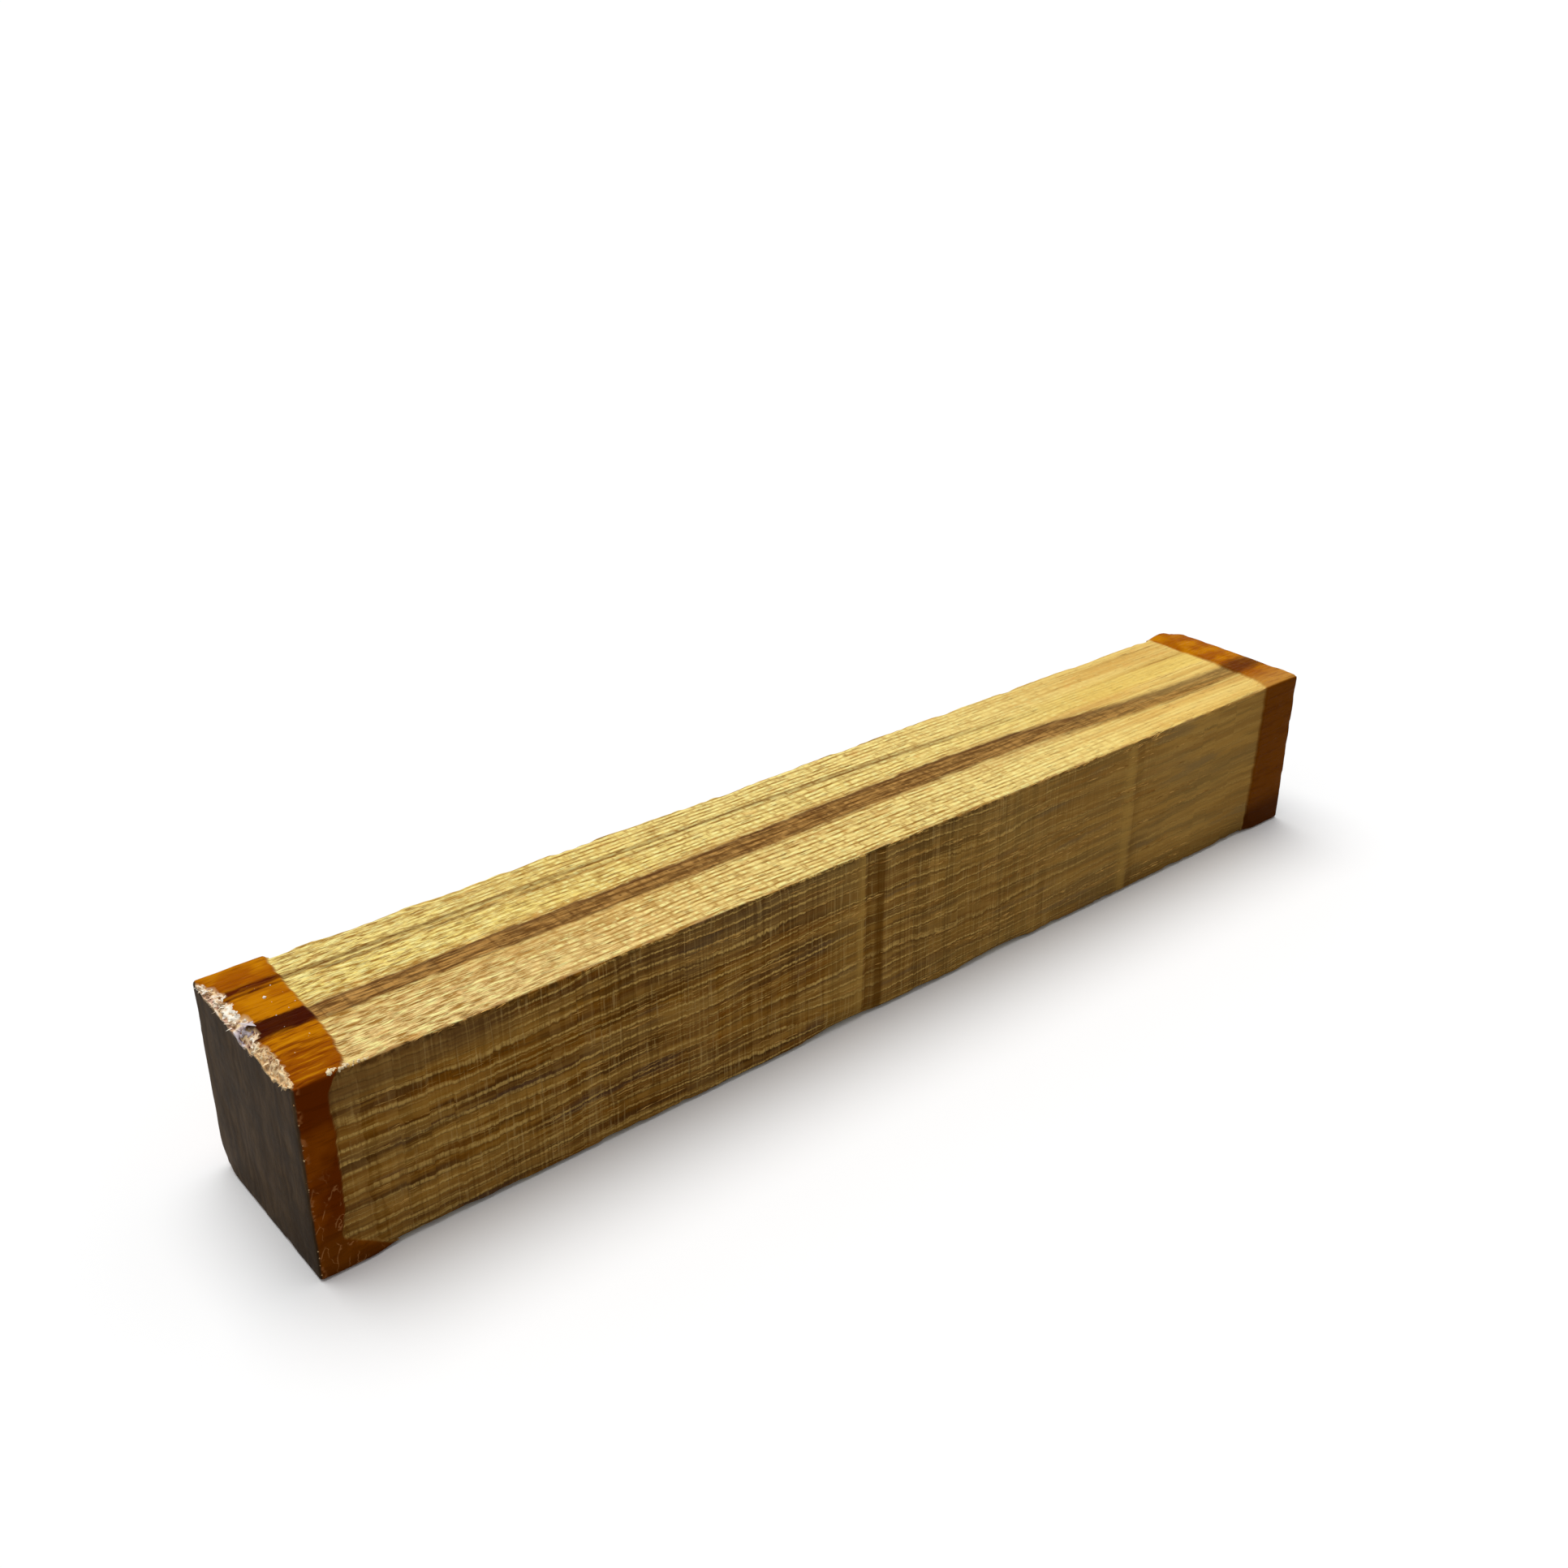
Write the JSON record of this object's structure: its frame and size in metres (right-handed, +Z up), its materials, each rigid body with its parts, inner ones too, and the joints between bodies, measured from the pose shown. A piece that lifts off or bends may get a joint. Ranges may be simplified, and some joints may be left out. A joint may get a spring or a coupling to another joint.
{
  "type": "wood turning blank",
  "caption": "Square stick of figured hardwood for turning a pen barrel on a lathe, rough-sawn, with both ends sealed in wax.",
  "frame": {"origin": "on the floor under the middle of the stick, which lies on the wax under its two ends", "axes": "+X along the stick from the end with the broken arris to the whole end, +Y from the front face to the back face, +Z up"},
  "size_m": [0.13, 0.0196, 0.0195],
  "materials": {
    "wood": "rough-sawn, unfinished, golden yellow with brown stripes along the grain",
    "wax": "clear amber sealing wax, glossy, over wood that it has darkened"
  },
  "bodies": {
    "root": {"wood_blank": "wood", "near_end_wax": "wax", "far_end_wax": "wax"}
  },
  "joints": []
}
